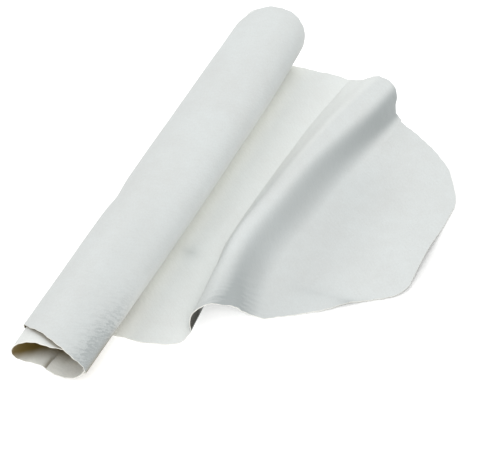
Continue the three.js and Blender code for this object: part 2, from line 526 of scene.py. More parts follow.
@dataclass(frozen=True)
class CutEdges:
    """The two cut edges of one stretch of the hide, as distances in from the hide's ends."""

    front: SmoothLine
    back: SmoothLine
    waver: float = 0.35
    long_waver: float = 5.3
    short_waver: float = 2.1

    def rows(self, hide: Hide, places: np.ndarray, reach: np.ndarray) -> np.ndarray:
        """Spreads the rows of a stretch between its cut edges.

        Args:
            hide: the leather.
            places: the columns' places, as the edges count them.
            reach: how far along the hide each column lies, in millimetres.

        Returns:
            Y of each point, as columns by rows.
        """
        waver = self.waver * (np.sin(reach / self.long_waver) + np.sin(reach / self.short_waver + 1))
        front = hide.front_end + self.front(places) + waver
        back = hide.back_end - self.back(places) + waver
        share = np.linspace(0, 1, hide.rows + 1)
        share = share - hide.row_crowding * np.sin(2 * np.pi * share) / (2 * np.pi)
        return front[:, None] + (back - front)[:, None] * share[None, :]


@dataclass(frozen=True)
class Roll:
    """The wound end of the hide.

    Turn angles count clockwise from the bottom, seen from the front. The starts of the inner edge's slant and
    curl are in radians.
    """

    radius: float = 43.2
    side_slump: float = 2.0
    front_draw_in: float = 3.0
    back_draw_in: float = 4.5
    turn_gap: float = 0.8
    lobe_slack: float = 1.5
    dip_slack: float = 4.0
    inner_edge_angle: float = 732.0
    inner_edge_slant: float = 8.0
    slant_fades: Rise = Rise(30, 80)
    slant_start: float = 11.2
    inner_edge_curl: float = 1.5
    curl_reach: float = 0.25
    dent_depth: float = 2.2
    dent_along: Bell = Bell(-49, 20)
    dent_round: Bell = Bell(112, 38)
    ripple_height: float = 1.1
    ripple_size: float = 85.0
    columns: int = 185

    edges: ClassVar[CutEdges] = CutEdges(
        SmoothLine(
            (0, 89), (60, 58), (117, 33), (160, 16), (215, 7), (280, 22), (315, 34),
            (385, 31), (445, 7), (490, 0), (555, 4), (640, 28), (720, 28),
        ),
        SmoothLine((0, 12), (117, 34), (180, 9), (245, 0), (360, 9), (720, 11)),
    )

    def mid_radius(self, hide: Hide) -> float:
        """Radius of the middle of the outermost leather."""
        return self.radius - hide.thickness / 2

    def inset(self, hide: Hide, angle: np.ndarray) -> np.ndarray:
        """Gives how far the leather lies in from the outermost turn.

        Args:
            hide: the leather.
            angle: the turn angles.

        Returns:
            The distance at each angle.
        """
        pitch = hide.thickness + self.turn_gap
        loose = SmoothLine(
            (0, 0),
            (285, 0),
            (FULL_TURN, pitch),
            (450, pitch + self.lobe_slack),
            (500, pitch + (self.lobe_slack + self.dip_slack) / 3),
            (550, pitch + self.dip_slack),
            (585, pitch + self.turn_gap / 2),
            (650, pitch + self.turn_gap / 2),
            (2 * FULL_TURN, 2 * pitch),
        )
        third_turn = angle > 2 * FULL_TURN
        return np.where(third_turn, loose(angle - FULL_TURN) + pitch, loose(angle))

    def dent(self, y: np.ndarray, angle: np.ndarray) -> np.ndarray:
        """Gives the depth of the shallow dent in every turn, by y and turn angle."""
        return self.dent_depth * (self.dent_along(y) * self.dent_round(angle % FULL_TURN))

    def inner_edge(self, hide: Hide, y: np.ndarray) -> np.ndarray:
        """Gives the turn angle at which the hide's inner end is cut, which slants near the front."""
        slanted = 1 - self.slant_fades(y - hide.front_end)
        return self.inner_edge_angle + self.inner_edge_slant * slanted

    def slump(self, share: np.ndarray) -> np.ndarray:
        """Gives how far the right side sags out.

        Args:
            share: the share of the way along the roll.

        Returns:
            The distance at each share.
        """
        line = SmoothLine(
            (0, -self.front_draw_in),
            (0.5, self.side_slump),
            (0.8, self.side_slump / 2),
            (1, -self.back_draw_in),
        )
        return line(share)


@dataclass(frozen=True)
class FoldSide:
    """One side of the fold: its slope at the foot in degrees, and its hold there and at the crest."""

    slope: SmoothLine
    foot_hold: SmoothLine
    crest_hold: SmoothLine


@dataclass(frozen=True)
class Flap:
    """The free end of the hide.

    Its lines go by the share of the way from the front end to the back end. The near flap's reach is a share
    of the lift line, and the toe's span a share of the fold.
    """

    lift_clearance: float = 11.0
    near_reach: float = 0.6
    fold_span: float = 130.0
    fold_height: float = 38.0
    toe_span: float = 0.2
    far_flap_width: float = 111.0
    edge_lift: float = 10.0
    edge_lift_middle: float = 58.0
    edge_lift_reach: float = 72.0
    edge_lift_width: float = 96.0
    swell_height: float = 1.1
    swell_length: float = 31.0
    swell_drift: float = 57.0
    mark_height: float = 0.7
    mark_run: Rise = Rise(20, 40)
    strip_columns: int = 14
    near_columns: int = 14
    side_columns: int = 36
    toe_columns: int = 8
    far_columns: int = 44

    strip_edges: ClassVar[CutEdges] = CutEdges(
        SmoothLine((0, 89), (0.55, 110), (1, 112)),
        SmoothLine((0, 12), (1, 6)),
    )
    near_edges: ClassVar[CutEdges] = CutEdges(
        SmoothLine((0, 112), (0.56, 120), (0.82, 128), (0.93, 137), (1, 150)),
        SmoothLine((0, 6), (1, 4)),
    )
    fold_edges: ClassVar[CutEdges] = CutEdges(
        SmoothLine((0, 150), (0.3, 160), (0.5, 172), (0.75, 189), (1, 201), (1.2, 212)),
        SmoothLine((0, 4), (0.2, 20.5), (0.5, 22.5), (0.7, 32), (0.9, 44), (1, 45), (1.2, 49)),
    )
    far_edges: ClassVar[CutEdges] = CutEdges(
        SmoothLine((0, 212), (0.3, 236), (0.55, 262), (0.86, 288), (0.96, 300), (1, 312)),
        SmoothLine((0, 49), (0.38, 72), (0.71, 100), (0.88, 127), (0.97, 147), (1, 160)),
    )
    near_width: ClassVar[SmoothLine] = SmoothLine(
        (0.18, 56), (0.24, 47.5), (0.32, 43), (0.38, 34), (0.49, 24.5), (0.8, 32), (1, 45.5)
    )
    toe_width: ClassVar[SmoothLine] = SmoothLine((0.33, 17), (0.4, 20), (0.56, 11), (0.8, 3), (0.94, 0.5))
    crest_share: ClassVar[SmoothLine] = SmoothLine(
        (0.27, 0.235), (0.45, 0.235), (0.6, 0.325), (0.8, 0.43), (0.95, 0.6)
    )
    crest_drop: ClassVar[SmoothLine] = SmoothLine((0.27, 7), (0.55, 4), (0.75, 2), (0.92, 0))
    left_side: ClassVar[FoldSide] = FoldSide(
        slope=SmoothLine((0.25, 112), (0.32, 108), (0.38, 80), (0.5, 58), (0.65, 50), (0.95, 38)),
        foot_hold=SmoothLine((0, 0.82), (1, 0.82)),
        crest_hold=SmoothLine((0.25, 0.75), (0.5, 0.45), (0.95, 0.3)),
    )
    right_side: ClassVar[FoldSide] = FoldSide(
        slope=SmoothLine((0.28, 5), (0.45, 4), (0.7, 4), (0.8, 8), (0.87, 13), (0.94, 18)),
        foot_hold=SmoothLine((0.28, 0.55), (0.36, 0.62), (0.5, 0.66), (0.65, 0.66), (0.94, 0.52)),
        crest_hold=SmoothLine((0.28, 0.68), (0.36, 0.45), (0.5, 0.37), (0.65, 0.38), (0.95, 0.95)),
    )

    def near_swell(self, y: np.ndarray) -> np.ndarray:
        """Gives how high the near flap swells halfway across."""
        wave = np.sin(y / self.swell_length + 2 * np.sin(y / self.swell_drift))
        return self.swell_height * (0.5 + 0.5 * wave)


@dataclass(frozen=True)
class FoldWaves:
    """The waves in the free end's leather: their lengths, and how far slower waves bend them."""

    swell_width: float = 23.0
    swell_bend: float = 1.5
    swell_drift: float = 44.0
    swell_length: float = 37.0
    swell_slant: float = 90.0
    coarse_share: float = 0.6
    coarse_step: float = 1.4
    coarse_bend: float = 3.0
    coarse_width: float = 13.0
    coarse_slant: float = 9.0
    fine_step: float = 0.8
    fine_slant: float = 6.0
    fine_bend: float = 2.0
    fine_width: float = 5.0
    streak_length: float = 1.9
    streak_slant: float = 14.0

    def swell(self, x: np.ndarray, y: np.ndarray) -> np.ndarray:
        """Gives broad swells, from 0 to 1."""
        wave = np.sin(x / self.swell_width + self.swell_bend * np.sin(y / self.swell_drift))
        return 0.5 + 0.5 * wave * np.sin(y / self.swell_length + x / self.swell_slant)

    def puckers(self, x: np.ndarray, from_front: np.ndarray) -> np.ndarray:
        """Gives the waves that the front edge is drawn into.

        Args:
            x: where each point lies across the hide.
            from_front: how far in from the front edge it lies.

        Returns:
            The waves, from -1 to 1.
        """
        bend = self.coarse_bend * np.sin(x / self.coarse_width + from_front / self.coarse_slant)
        coarse = np.sin(from_front / self.coarse_step + bend)
        bend = self.fine_bend * np.sin(x / self.fine_width)
        fine = np.sin(from_front / self.fine_step - x / self.fine_slant + bend)
        return self.coarse_share * coarse + (1 - self.coarse_share) * fine

    def streaks(self, x: np.ndarray, y: np.ndarray) -> np.ndarray:
        """Gives the fine streaks over the back of the fold, from -1 to 1."""
        return np.sin(y / self.streak_length + x / self.streak_slant)


@dataclass(frozen=True)
class Layout:
    """The three parts of the hide together, and where they lie in the frame."""

    hide: Hide = Hide()
    roll: Roll = Roll()
    flap: Flap = Flap()

    @property
    def lift_line(self) -> float:
        """X of the line where the flap lifts off the surface."""
        return self.roll.radius + self.roll.side_slump + self.flap.lift_clearance

    @property
    def far_line(self) -> float:
        """X of the line where the far end lifts off."""
        return self.lift_line + self.flap.fold_span

    @property
    def far_edge(self) -> float:
        """X of the far end."""
        return self.far_line + self.flap.far_flap_width

    @property
    def origin(self) -> np.ndarray:
        """The frame's origin, in the hide's own millimetres."""
        lowest, highest = CAD_BOX
        return np.array([self.far_edge - highest.x / MM, self.hide.front_end - lowest.y / MM, 0.0])

    def to_frame(self, points: np.ndarray) -> np.ndarray:
        """Turns points in the hide's millimetres into metres in the frame."""
        return (points - self.origin) * MM

    def hinge(self, x: float) -> Triple:
        """Gives a point in the frame on the surface at x."""
        return tuple(self.to_frame(np.array([x, 0.0, self.hide.thickness])))


# Finishes


@dataclass(frozen=True)
class LeatherFinish:
    """Undyed chamois: a soft nap all over and cloudy in tone, with light and shade painted over it: paler
    where light is painted, greyer where shade is painted, brown and near black where shade is painted into
    recesses.
    """

    name: str
    pale: Colour = (0.622, 0.655, 0.652, 1.0)
    dull: Colour = (0.565, 0.577, 0.565, 1.0)
    # Painted light and shade: a near white painted as light, a grey painted as shade and into the grain's
    # cracks, a brown painted as shade in recesses, and a near black painted as deep shade.
    painted_light_colour: Colour = (0.97, 0.985, 0.945, 1.0)
    grain_and_painted_shade_colour: Colour = (0.335, 0.36, 0.36, 1.0)
    brown_painted_shade: Colour = (0.14, 0.092, 0.01, 1.0)
    unlit: Colour = (0.02, 0.018, 0.01, 1.0)
    # The cut rim's own cream, made paler as painted light so that the upright rim reads as bright as the top.
    cut: Colour = (0.80, 0.79, 0.74, 1.0)
    cut_share: float = 0.8
    cloud_size: float = 0.09
    cloud_share: float = 1.1
    blotch_size: float = 0.016
    blotch_share: float = 0.7
    nap_size: float = 0.0016
    nap_share: float = 1.2
    nap_stretch: Triple = (1.0, 0.55, 1.0)
    nap_height: float = 0.3
    wrinkle_size: float = 0.022
    wrinkle_stretch: Triple = (0.6, 1.0, 1.0)
    wrinkle_height: float = 0.8
    crackle_size: float = 0.0034
    crackle_width: float = 0.22
    crackle_share: float = 0.35
    furrow_size: float = 0.0022
    furrow_turn: float = math.radians(40)
    furrow_stretch: Triple = (0.2, 1.0, 1.0)
    furrow_limits: tuple[float, float] = (0.38, 0.56)
    furrow_share: float = 0.65
    grain_darkness: float = 0.8
    grain_height: float = 1.6
    relief: float = 0.0011
    relief_strength: float = 0.5
    roughness: float = 0.86
    roughness_spread: float = 0.12
    specular: float = 0.22
    sheen: float = 0.12
    sheen_roughness: float = 0.5

    def material(self) -> bpy.types.Material:
        """Builds the material.

        Returns:
            The material, which reads the numbers that the sheets carry.
        """
        material, graph = new_material(self.name)
        place = graph.node("ShaderNodeAttribute", {"attribute_name": "flat_place"}, None, "Vector")
        # The sheets carry shares of painted light, painted shade, brown painted shade and near-black painted
        # shade, then the grain and the cut rim.
        stored = ("painted_light_share", "painted_shade_share", "shelter", "gloom", "grain", "cut_edge")
        up, down, shelter, gloom, grain_share, cut_edge = (
            graph.node("ShaderNodeAttribute", {"attribute_name": name}, None, "Fac") for name in stored
        )

        cloud = graph.noise(place, self.cloud_size)
        blotch = graph.noise(place, self.blotch_size, detail=4.0)
        nap = graph.noise(graph.stretch(place, self.nap_stretch), self.nap_size, detail=3.0)
        creased = graph.stretch(place, self.wrinkle_stretch)
        wrinkle = graph.noise(creased, self.wrinkle_size, detail=3.0)
        cell_inputs = {"Vector": place, "Scale": 1 / self.crackle_size}
        cells = graph.node("ShaderNodeTexVoronoi", {"feature": "DISTANCE_TO_EDGE"}, cell_inputs)
        crackle = graph.ease(cells, 0.0, self.crackle_width)
        slant_inputs = {"Vector": place, "Angle": self.furrow_turn}
        slanted = graph.node("ShaderNodeVectorRotate", {"rotation_type": "Z_AXIS"}, slant_inputs)
        drawn_out = graph.stretch(slanted, self.furrow_stretch)
        streaks = graph.noise(drawn_out, self.furrow_size, detail=1.0)
        furrow = graph.ease(streaks, *self.furrow_limits)
        grain = (crackle * self.crackle_share + furrow * self.furrow_share - 1) * grain_share

        tone = 0.5 + (cloud - 0.5) * self.cloud_share
        tone = tone + (blotch - 0.5) * self.blotch_share + (nap - 0.5) * self.nap_share
        colour = graph.blend_colours(tone, self.dull, self.pale)
        # Light and shade are painted over the leather's tone here, layer by layer; the grey layer also
        # darkens the grain's cracks.
        layers = [
            (up, self.painted_light_colour),
            (down - grain * self.grain_darkness, self.grain_and_painted_shade_colour),
            (shelter, self.brown_painted_shade),
            (gloom, self.unlit),
            (cut_edge * self.cut_share, self.cut),
        ]
        for share, layer in layers:
            colour = graph.blend_colours(share, colour, layer)

        height = nap * self.nap_height + wrinkle * self.wrinkle_height + grain * self.grain_height
        bump_inputs = {"Strength": self.relief_strength, "Distance": self.relief, "Height": height}
        looks = {
            "Base Color": colour,
            "Roughness": self.roughness + nap * self.roughness_spread,
            "Normal": graph.node("ShaderNodeBump", None, bump_inputs),
            "Specular IOR Level": self.specular,
            "Sheen Weight": self.sheen,
            "Sheen Roughness": self.sheen_roughness,
        }
        graph.set_shader(looks)
        return material


@dataclass(frozen=True)
class TableFinish:
    """A matt white table top that glows a little all round the hide, but not under most of it."""

    name: str = "white_table"
    pale: Colour = (0.93, 0.93, 0.925, 1.0)
    dull: Colour = (0.90, 0.90, 0.895, 1.0)
    speck_size: float = 0.05
    roughness: float = 0.9
    specular: float = 0.1
    glow: float = 0.35
    front_glow: tuple[float, float] = (-0.04, -0.11)
    back_glow: tuple[float, float] = (0.2, 0.27)
    left_glow: tuple[float, float] = (-0.15, -0.18)
    right_glow: tuple[float, float] = (0.19, 0.25)

    def material(self) -> bpy.types.Material:
        """Builds the material.

        Returns:
            The material, whose glow goes by the place on the table.
        """
        material, graph = new_material(self.name)
        place = graph.node("ShaderNodeTexCoord", None, None, "Object")
        x = graph.node("ShaderNodeSeparateXYZ", None, {0: place}, "X")
        y = x.other("Y")
        ends = graph.ease(y, *self.front_glow) + graph.ease(y, *self.back_glow)
        sides = graph.ease(x, *self.left_glow) + graph.ease(x, *self.right_glow)
        lit = graph.math("MAXIMUM", ends, sides)
        looks = {
            "Base Color": graph.blend_colours(graph.noise(place, self.speck_size), self.dull, self.pale),
            "Roughness": self.roughness,
            "Specular IOR Level": self.specular,
            "Emission Color": graph.blend_colours(lit, BLACK, WHITE),
            "Emission Strength": self.glow,
        }
        graph.set_shader(looks)
        return material


@dataclass(frozen=True)
class RollTones:
    """Light and shade painted onto the roll and beside it, and the grain of one worn patch.

    The patches go by y, by the turn angle, by the run from under the roll and by the nearness of the mark.
    """

    # Painted light on the flap, strongest beside the roll where the roll's shade falls.
    flap_painted_light: float = 0.15
    beside_run: Rise = Rise(55, 25)
    beside_roll_painted_light: float = 0.85
    beside_back_loss: float = 0.55
    # Painted light on the outside of the inner turns.
    inner_turn_painted_light: float = 0.3
    # The worn patch's grain is real; its darkening is painted shade.
    worn_painted_shade: float = 0.6
    worn_grain: float = 0.8
    # Brown painted shade deep in the roll's bore.
    bore_depth: Rise = Rise(12, 42)
    bore_lean: float = 30.0
    bore_lean_turn: float = 0.24
    bore_right_delay: float = 16.0
    middle_depth: Rise = Rise(90, 180)
    middle_loss: float = 0.5
    # A painted shadow line beside the hide's inner end.
    inner_end_angle: Bell = Bell(2.5, 3.5)
    inner_end_painted_shadow: float = 0.6
    # A painted shadow on the inner turn just under the outer turn's front edge.
    tuck_depth: Rise = Rise(-2.5, 0)
    tuck_reach: float = 20.0
    tuck_painted_shadow: float = 0.5

    away: ClassVar[Rise] = Rise(165, 215)
    low: ClassVar[Rise] = Rise(262, 285)
    low_right: ClassVar[Bell] = Bell(268, 34)
    to_front: ClassVar[Rise] = Rise(-90, -170)
    to_back: ClassVar[Rise] = Rise(150, 300)
    # A worn, grainy patch low on the roll's front right, also painted darker as shade.
    worn: ClassVar[Patch] = Patch(1.0, angle=low_right, y=Rise(-140, -275))
    # Painted shade along the fold mark beside the roll.
    marked: ClassVar[Patch] = Patch(0.4, mark=as_it_is, run=Bell(50, 11))
    # Brown painted shade on the strip beside the roll.
    beside_roll_painted_shade: ClassVar[Patch] = Patch(0.12, run=Rise(54, 30))
    # Painted light on the roll's low right side and low at its front.
    palest: ClassVar[Patch] = Patch(1.0, angle=Rise(290, 305), y=Rise(-170, -90))
    paler: ClassVar[dict[str, Patch]] = {
        "low": Patch(0.15, angle=Rise(252, 290)),
        "low, short of the back": Patch(0.35, angle=Rise(252, 290), y=Rise(300, 150)),
    }
    # Painted shade on the roll's outside where it turns away, low at the back and beside its mouth.
    darker: ClassVar[dict[str, Patch]] = {
        "turned away": Patch(0.06, angle=away),
        "turned away at the front": Patch(0.16, angle=away, y=Rise(40, -180)),
        "low at the back": Patch(0.2, angle=low_right, y=to_back),
        "beside the mouth": Patch(0.5, angle=Rise(255, 283), y=Rise(-205, -275)),
    }
    # Brown painted shade low on the roll's outside, most at the front and beside the mouth.
    brown_painted_shade: ClassVar[dict[str, Patch]] = {
        "low": Patch(0.05, angle=low),
        "low at the front": Patch(0.07, angle=low, y=to_front),
        "lowest at the front": Patch(0.3, angle=Rise(282, 293), y=to_front),
        "beside the mouth": Patch(0.3, angle=Rise(268, 290), y=Rise(-190, -240)),
    }


@dataclass(frozen=True)
class FoldTones:
    """Light and shade painted onto the fold and the far flap, and the small forms there.

    The patches go by x, y and z, by x from the far line or from the seam, by the way in from the front or the
    back edge, by how far the leather faces left, by the nearness of the mark, and by the waves.
    """

    front_y: Rise = Rise(10, -130)
    back_y: Rise = Rise(80, 240)
    # Painted shade on slopes that face right, more at the back and less at the front foot.
    away_tilt: Rise = Rise(4, 50)
    away_painted_shade: float = 0.7
    away_back_painted_shade: float = 0.2
    front_turn: float = 17.0
    back_turn: float = 12.0
    foot_share: Rise = Rise(0.3, 0.8)
    front_loss: float = 0.04
    front_foot_loss: float = 0.5
    beyond_end: Rise = Rise(75, -5)
    # Painted light on slopes that face left.
    left_slope_painted_light: float = 1.1

    raised: ClassVar[Rise] = Rise(4, 20)
    high: ClassVar[Rise] = Rise(10, 25)
    on_far: ClassVar[Rise] = Rise(-20, 25)
    mark_on_far: ClassVar[Rise] = Rise(-25, 20)
    creased: ClassVar[Bell] = Bell(134, 24)
    clear_of_seam: ClassVar[Patch] = Patch(1.0, from_seam=Rise(0, 14))
    # Painted light beside the seam and on slopes that face left.
    beside_seam: ClassVar[Patch] = Patch(1.0, off_seam=Fade(12))
    left_slope: ClassVar[Patch] = Patch(1.0, to_left=Rise(0, 0.6), y=Rise(20, 180))
    # Painted shade a little beyond the fold's right foot, on the far flap.
    beyond: ClassVar[Patch] = Patch(0.21, far_x=Rise(-70, -30), y=Rise(220, 120))
    # Near-black painted shade inside the fold's left wall, near its front.
    in_tunnel: ClassVar[Patch] = Patch(0.96, to_left=Rise(0.3, 0.7), depth=Rise(50, 22))
    # Painted shade in the front creases, at the front of the crest, along the fold mark and on the crest,
    # with painted light between the creases.
    darker: ClassVar[dict[str, Patch]] = {
        "creases": Patch(0.6, depth=Fade(22), x=creased),
        "light between the creases": Patch(-0.3, puckers=as_it_is, depth=Fade(22), x=creased),
        "front of the crest": Patch(0.17, y=Rise(10, -120), z=high),
        "fold mark": Patch(0.16, mark=as_it_is, far_x=mark_on_far),
        "fold mark at the edge": Patch(0.5, mark=as_it_is, far_x=mark_on_far, depth=Fade(7)),
        "crest": Patch(0.05, z=high),
    }
    forms: ClassVar[dict[str, Patch]] = {
        "swells": Patch(1.3, swell=as_it_is, far_x=on_far),
        "puckers": Patch(0.5, puckers=as_it_is, depth=Fade(16), z=raised, x=Bell(142, 26)),
        "streaks": Patch(0.22, streaks=as_it_is, back_depth=Fade(34), z=raised, x=Rise(140, 165)),
        "mark over the fold": Patch(0.35, mark=as_it_is, z=raised),
        "mark on the far flap": Patch(0.9, mark=as_it_is, far_x=on_far),
        "mark at the edge": Patch(1.2, mark=as_it_is, far_x=on_far, depth=Fade(25)),
    }


# The leather's pieces


@dataclass
class HideSheet:
    """What both sheets of the hide share."""

    layout: Layout
    finish: bpy.types.Material
    name: ClassVar[str]

    @property
    def hide(self) -> Hide:
        """The leather."""
        return self.layout.hide

    @property
    def roll(self) -> Roll:
        """The wound end."""
        return self.layout.roll

    @property
    def flap(self) -> Flap:
        """The free end."""
        return self.layout.flap

    def show_smooth(self, mesh: bpy.types.Mesh) -> bpy.types.Object:
        """Shades a sheet smooth but for its rim, and puts it into the scene.

        Args:
            mesh: the sheet.

        Returns:
            The object.
        """
        mesh.shade_smooth()
        mesh.set_sharp_from_angle(angle=math.radians(self.hide.rim_angle))
        return show(self.name, mesh)

    def bend_ends(self, start: float) -> list[Triple]:
        """Gives the two points in the frame between which the leather bends, from x at the start."""
        return [self.layout.hinge(start), self.layout.hinge(start + self.hide.bend_width)]


@dataclass
class RolledHide(HideSheet):
    """The wound end of the hide, with the strip under the roll and the near flap beside it."""

    tones: RollTones = RollTones()
    name: ClassVar[str] = "rolled_hide"

    def build(self) -> bpy.types.Object:
        """Makes the flat hide, rolls it up and keeps the result.

        Returns:
            The finished sheet.
        """
        flat = show(self.name + "_flat", self.flat_mesh())
        values = {
            "Roll Radius": self.roll.mid_radius(self.hide) * MM,
            "Thickness": self.hide.thickness * MM,
            "Ripple Height": self.roll.ripple_height * MM,
            "Ripple Size": self.roll.ripple_size * MM,
            "Middle": float(self.layout.origin[0] * MM),
            "Finish": self.finish,
        }
        mesh = self.roll_up().bake(flat, values, self.name)
        bpy.data.objects.remove(flat)
        return self.show_smooth(mesh)

    def flat_mesh(self) -> bpy.types.Mesh:
        """Lays out the hide flat, with how far each point is to be turned, moved in and lifted.

        Returns:
            The mesh, whose attributes the rolling and the finish read.
        """
        hide, roll, flap = self.hide, self.roll, self.flap
        lift_line = self.layout.lift_line
        mid_radius = roll.mid_radius(hide)
        angles = np.linspace(roll.inner_edge_angle, 0, roll.columns)
        strip_shares = np.linspace(0, 1, flap.strip_columns + 1)[1:]
        near_shares = np.linspace(0, 1, flap.near_columns + 1)[1:]
        turns = np.radians(np.concatenate([angles, np.zeros(flap.strip_columns + flap.near_columns)]))

        roll_y = roll.edges.rows(hide, angles, -mid_radius * np.radians(angles))
        strip_y = flap.strip_edges.rows(hide, strip_shares, lift_line * strip_shares)
        near_y = flap.near_edges.rows(hide, near_shares, lift_line * (1 + flap.near_reach * near_shares))
        y = np.concatenate([roll_y, strip_y, near_y])

        near_run = lift_line + near_shares[:, None] * flap.near_width(hide.share_along(near_y))
        strip_run = lift_line * strip_shares[:, None] * np.ones_like(strip_y)
        run = np.concatenate([np.zeros_like(roll_y), strip_run, near_run])
        slant = np.radians(roll.inner_edge(hide, y) - roll.inner_edge_angle)
        turn = turns[:, None] + slant * Rise(roll.slant_start, turns[0])(turns)[:, None]
        inset = roll.inset(hide, np.degrees(turn)) * (turn > 0)
        inset = inset + roll.inner_edge_curl * Rise(turns[0] - roll.curl_reach, turns[0])(turn)
        inset = inset + roll.dent(y, np.degrees(turn))
        across = run - (mid_radius - inset / 2) * turn

        near_only = np.concatenate([np.zeros(len(angles) + len(strip_shares)), near_shares])[:, None]
        mark = hide.mark(y, across)
        lift = flap.near_swell(y) * np.sin(np.pi * near_only) ** 2
        lift = lift + flap.mark_height * mark * flap.mark_run(run) * (1 - near_only)

        thick = np.stack([across, y, np.full_like(y, hide.thickness / 2)], -1)
        mesh = closed_sheet(self.name, thick * MM, thick * [MM, MM, -MM], Seam.LAST_COLUMN)
        along = y - self.layout.origin[1]
        slump = roll.slump(hide.share_along(y))
        lengths = {"run": run, "inset": inset, "lift": lift, "slump": slump, "along": along}
        for label, numbers in lengths.items():
            store(mesh, label, numbers * MM, numbers * MM)
        store(mesh, "turn", turn, turn)
        store(mesh, "side", np.ones_like(y), -np.ones_like(y))
        store_flat_place(mesh, across, y, hide.lower_side_depth)
        measures = {"turn": turn, "angle": np.degrees(turn), "run": run, "y": y, "mark": mark}
        for label, sides in self.nap(measures, near_only).items():
            store(mesh, label, *sides)
        return mesh

    def nap(self, measures: Measures, near_only: np.ndarray) -> dict[str, Sides]:
        """Gives the painted light, painted shade and grain of the upper and the lower side.

        Args:
            measures: what the patches go by at each point.
            near_only: the share of the way over the near flap.

        Returns:
            The numbers of both sides, by the name that the finish reads.
        """
        tones = self.tones
        on_roll = measures["turn"] > 0
        first_turn = measures["turn"] < 2 * np.pi
        nothing = np.zeros_like(measures["y"])
        worn = tones.worn(measures)
        # Painted light beside the roll, where the roll's shade falls, fading towards the back; painted light
        # and shade on the roll's outside.
        fading = tones.beside_roll_painted_light - tones.beside_back_loss * tones.to_back(measures["y"]) ** 3
        beside = tones.flap_painted_light + fading * tones.beside_run(measures["run"])
        beside = beside + (self.hide.seam_painted_light - tones.flap_painted_light) * near_only**2
        pale = np.maximum(add_up(tones.paler, measures) * (1 - worn), tones.palest(measures))
        dark = add_up(tones.darker, measures) * first_turn + tones.worn_painted_shade * worn
        grain = nothing + self.hide.grain
        return {
            # Painted light on the roll's inside, beside the roll and low on the roll's outside.
            "painted_light_share": (np.where(on_roll, 1.0, beside), np.where(first_turn, pale, tones.inner_turn_painted_light)),
            # Painted shade along the fold mark beside the roll, and on the roll's outside where it turns
            # away, low at the back, beside its mouth and in the worn patch.
            "painted_shade_share": (np.where(on_roll, 0.0, tones.marked(measures)), dark),
            "shelter": self.shelter(measures),
            "gloom": (nothing, nothing),
            "grain": (grain, grain + tones.worn_grain * worn),
        }

    def shelter(self, measures: Measures) -> Sides:
        """Gives the brown painted shade where the light is kept off the leather: deep in the bore, beside the
        hide's inner end, under the outer turn's edge, low on the roll's outside, beside the roll and under
        the leather.

        Args:
            measures: what the patches go by at each point.

        Returns:
            The shares on the upper and the lower side.
        """
        hide, roll, tones = self.hide, self.roll, self.tones
        turn, angle, y = measures["turn"], measures["angle"], measures["y"]
        depth = np.minimum(y - y[:, :1], y[:, -1:] - y)
        head_start = tones.bore_lean * (1 - np.cos(turn + tones.bore_lean_turn))
        head_start = head_start - tones.bore_right_delay * np.maximum(-np.sin(turn), 0)
        inside = tones.bore_depth(depth + head_start) * (1 - tones.middle_loss * tones.middle_depth(depth))
        from_inner_end = angle - (roll.inner_edge(hide, y) - FULL_TURN)
        inside = np.maximum(inside, tones.inner_end_painted_shadow * tones.inner_end_angle(from_inner_end))
        outer_edge = hide.front_end + roll.edges.front(angle - FULL_TURN)
        under_turn = (angle > FULL_TURN) * (y < outer_edge + tones.tuck_reach)
        tucked = tones.tuck_painted_shadow * tones.tuck_depth(y - outer_edge) * under_turn
        outside = tucked + add_up(tones.brown_painted_shade, measures) * (angle < FULL_TURN)
        upper = np.where(turn > 0, inside, tones.beside_roll_painted_shade(measures))
        return upper, np.where(turn > 0, outside, hide.underside_painted_shade)

    def roll_up(self) -> Recipe:
        """Builds the tree that winds the flat hide into the roll.

        Returns:
            The recipe.
        """
        sizes = ["Roll Radius", "Thickness", "Ripple Height", "Ripple Size", "Middle"]
        inputs = {**dict.fromkeys(sizes, "NodeSocketFloat"), "Finish": "NodeSocketMaterial"}
        recipe = Recipe("roll_up_the_hide", inputs)
        graph = recipe.graph
        turn = recipe.stored("turn")
        along = recipe.stored("along")
        radius = recipe.input("Roll Radius")
        half = recipe.input("Thickness") * 0.5
        sine = graph.math("SINE", turn)
        cosine = graph.math("COSINE", turn)

        on_roll = graph.node("ShaderNodeCombineXYZ", None, {0: sine * radius, 1: along, 2: cosine * radius})
        ripple = graph.noise(on_roll, recipe.input("Ripple Size"), detail=3.0) - 0.5
        off_bottom = (1 - cosine) * 0.5
        waved = ripple * recipe.input("Ripple Height") * 2 * off_bottom
        reach = radius - recipe.stored("inset") - waved - recipe.stored("side") * half
        right_side = graph.math("MAXIMUM", 0 - sine, 0.0)
        widen = 1 + right_side * recipe.stored("slump") / radius
        x = recipe.stored("run") - widen * reach * sine - recipe.input("Middle")
        z = half + radius - reach * cosine + recipe.stored("lift")
        wound = graph.node("ShaderNodeCombineXYZ", None, {0: x, 1: along, 2: z})
        placing = {"Geometry": recipe.input("Geometry"), "Position": wound}
        recipe.close(graph.node("GeometryNodeSetPosition", None, placing), recipe.input("Finish"))
        return recipe

    def dress(self, piece: bpy.types.Object, fringe: bpy.types.Object) -> None:
        """Bakes the placing of the sheet and its fringe into their meshes, hides the CAD parts that they
        stand for and measures the sheet spread flat.

        Args:
            piece: the sheet.
            fringe: its loose fibres.
        """
        ends = self.bend_ends(self.layout.lift_line)
        for part in (piece, fringe):
            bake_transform(part)
        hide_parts("outer_turn", "inner_turn", "strip_under_roll", "near_flap")
        flat_size(piece)


